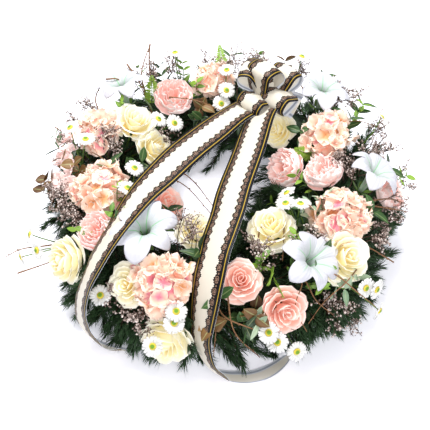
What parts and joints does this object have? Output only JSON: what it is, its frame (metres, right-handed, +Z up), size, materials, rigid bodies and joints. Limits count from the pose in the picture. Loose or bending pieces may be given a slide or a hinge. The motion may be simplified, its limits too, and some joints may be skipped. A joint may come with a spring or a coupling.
{
  "type": "memorial wreath",
  "caption": "Ring-shaped memorial wreath of fir and artificial flowers on a straw base, tied with a bow of printed mourning ribbon with two long tails.",
  "frame": {"origin": "Floor level under the middle of the wreath's bounding box, which includes the ribbon tails and the longest stems.", "axes": "+Z up, away from the flat back; +Y towards the bow; +X to the right seen from the ribbon tails' ends."},
  "size_m": [0.6292, 0.6376, 0.2259],
  "materials": {
    "ribbon_satin": "printed acetate satin ribbon, ivory centre between black borders with copper lace scallops and a gold line, silver-grey back",
    "wire": "green lacquered florist's wire",
    "pin_steel": "bright drawn steel wire",
    "lily_petals": "white printed polyester petals with green throat lines",
    "cream_petals": "cream dyed polyester rose petals, yellow heart",
    "salmon_petals": "salmon pink dyed polyester rose petals",
    "pink_petals": "pale pink dyed polyester peony petals",
    "hydrangea_petals": "peach and pink dyed polyester florets",
    "daisy_petals": "white moulded rays, yellow and green button, green stem",
    "limonium": "brown stems with dusty pink florets",
    "twig_bark": "dry brown bark",
    "fir_needles": "dark blue-green fir needles on brown stems",
    "straw": "straw roll wound in dark green crepe tape"
  },
  "bodies": {
    "root": {"bow_loops": "ribbon_satin", "ribbon_tail_left": "ribbon_satin", "ribbon_tail_right": "ribbon_satin", "bow_tie_wire": "wire", "greening_pin_1": "pin_steel", "greening_pin_2": "pin_steel", "greening_pin_3": "pin_steel", "greening_pin_4": "pin_steel", "greening_pin_5": "pin_steel", "greening_pin_6": "pin_steel", "greening_pin_7": "pin_steel", "lily_1": "lily_petals", "lily_2": "lily_petals", "lily_3": "lily_petals", "lily_4": "lily_petals", "lily_5": "lily_petals", "cream_rose_1": "cream_petals", "cream_rose_2": "cream_petals", "cream_rose_3": "cream_petals", "cream_rose_4": "cream_petals", "cream_rose_5": "cream_petals", "cream_rose_6": "cream_petals", "cream_rose_7": "cream_petals", "cream_rose_8": "cream_petals", "cream_rose_9": "cream_petals", "salmon_rose_1": "salmon_petals", "salmon_rose_2": "salmon_petals", "salmon_rose_3": "salmon_petals", "pink_peony_1": "pink_petals", "pink_peony_2": "pink_petals", "pink_peony_3": "pink_petals", "pink_peony_4": "pink_petals", "pink_peony_5": "pink_petals", "hydrangea_1": "hydrangea_petals", "hydrangea_2": "hydrangea_petals", "hydrangea_3": "hydrangea_petals", "hydrangea_4": "hydrangea_petals", "hydrangea_5": "hydrangea_petals", "hydrangea_6": "hydrangea_petals", "daisy_spray_1": "daisy_petals", "daisy_spray_2": "daisy_petals", "daisy_spray_3": "daisy_petals", "daisy_spray_4": "daisy_petals", "daisy_spray_5": "daisy_petals", "daisy_spray_6": "daisy_petals", "daisy_spray_7": "daisy_petals", "limonium_spray_1": "limonium", "limonium_spray_2": "limonium", "limonium_spray_3": "limonium", "twig_1": "twig_bark", "twig_2": "twig_bark", "twig_3": "twig_bark", "fir_bunch_1": "fir_needles", "fir_bunch_2": "fir_needles", "fir_bunch_3": "fir_needles", "fir_bunch_4": "fir_needles", "fir_bunch_5": "fir_needles", "fir_bunch_6": "fir_needles", "fir_bunch_7": "fir_needles", "straw_ring": "straw"}
  },
  "joints": []
}
